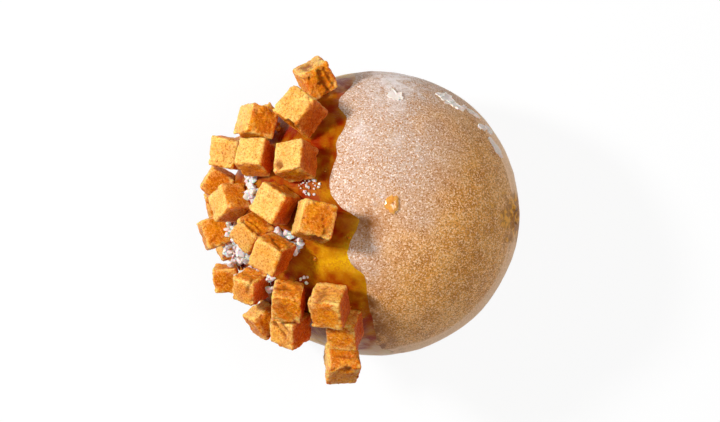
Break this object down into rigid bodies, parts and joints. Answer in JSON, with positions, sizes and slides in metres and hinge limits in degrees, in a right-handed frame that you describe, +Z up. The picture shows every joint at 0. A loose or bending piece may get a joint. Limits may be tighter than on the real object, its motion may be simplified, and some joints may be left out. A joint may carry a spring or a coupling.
{
  "type": "salted caramel doughnut",
  "caption": "Round filled doughnut with a sugar glaze, one side dipped in salted caramel and set with cubes of caramel fudge and coarse salt.",
  "frame": {"origin": "centre of the small flat spot that the doughnut rests on", "axes": "+Z up through the middle of the doughnut; the fudge cubes are on the -X side"},
  "size_m": [0.0884, 0.0892, 0.0786],
  "materials": {
    "glazed_dough": "fried dough under a thin, flaking, half-clear sugar glaze",
    "caramel_fudge": "grainy caramel fudge with a faint gloss",
    "caramel_sauce": "glossy, half-clear amber caramel",
    "sea_salt": "coarse cloudy crystals"
  },
  "bodies": {
    "root": {"doughnut": "glazed_dough", "fudge_back_left": "caramel_fudge", "fudge_crown": "caramel_fudge", "fudge_foot": "caramel_fudge", "fudge_front_a": "caramel_fudge", "fudge_front_b": "caramel_fudge", "fudge_lone": "caramel_fudge", "fudge_low_left": "caramel_fudge", "fudge_low_right": "caramel_fudge", "fudge_mid_a": "caramel_fudge", "fudge_mid_b": "caramel_fudge", "fudge_mid_c": "caramel_fudge", "fudge_outer_a": "caramel_fudge", "fudge_outer_b": "caramel_fudge", "fudge_outer_c": "caramel_fudge", "fudge_outer_d": "caramel_fudge", "fudge_rim_a": "caramel_fudge", "fudge_rim_b": "caramel_fudge", "fudge_rim_c": "caramel_fudge", "fudge_rim_d": "caramel_fudge", "fudge_step_a": "caramel_fudge", "fudge_step_b": "caramel_fudge", "fudge_under_a": "caramel_fudge", "fudge_under_b": "caramel_fudge", "fudge_under_c": "caramel_fudge", "fudge_under_d": "caramel_fudge", "fudge_under_e": "caramel_fudge", "fudge_under_f": "caramel_fudge"}
  },
  "joints": []
}
